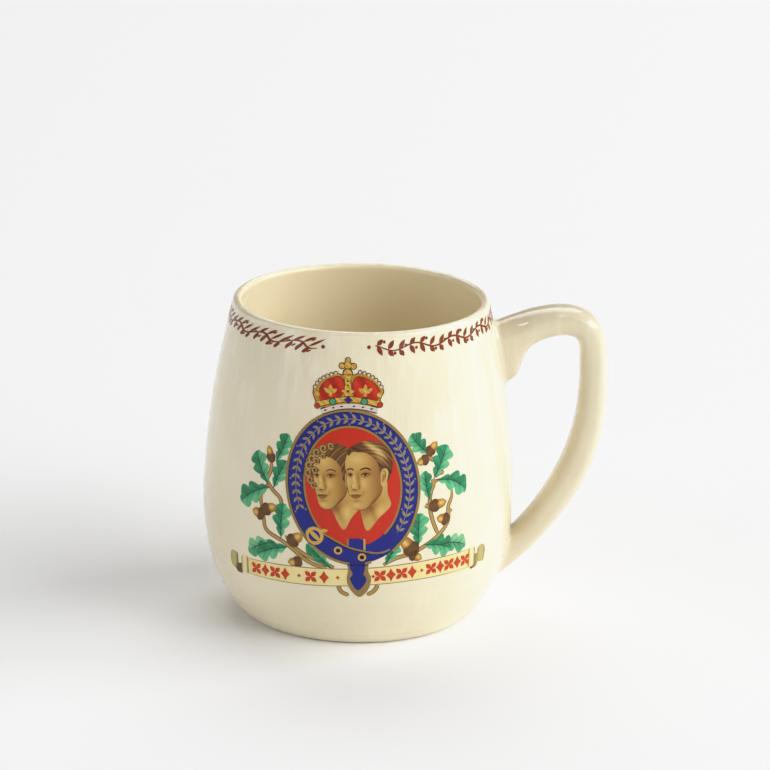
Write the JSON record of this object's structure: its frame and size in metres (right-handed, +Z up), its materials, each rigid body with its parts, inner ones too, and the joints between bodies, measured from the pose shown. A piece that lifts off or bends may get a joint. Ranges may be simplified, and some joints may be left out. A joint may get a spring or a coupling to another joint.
{
  "type": "ceramic mug",
  "caption": "Barrel-shaped glazed earthenware mug with a loop handle, a printed crest on one side and a printed border under the rim.",
  "frame": {"origin": "centre of the foot ring, on the plane the mug stands on", "axes": "+Z up along the axis the cup was turned about, +X towards the handle, -Y towards the printed crest"},
  "size_m": [0.1077, 0.0834, 0.086],
  "materials": {
    "glazed_body": "glossy",
    "glazed_handle": "glossy",
    "slip": "glossy",
    "crest_enamel": "glossy",
    "border_enamel": "glossy"
  },
  "bodies": {
    "root": {"mug_body": "glazed_body", "handle": "glazed_handle", "upper_slip_joint": "slip", "lower_slip_joint": "slip", "crest_print": "crest_enamel", "rim_border_print": "border_enamel"}
  },
  "joints": []
}
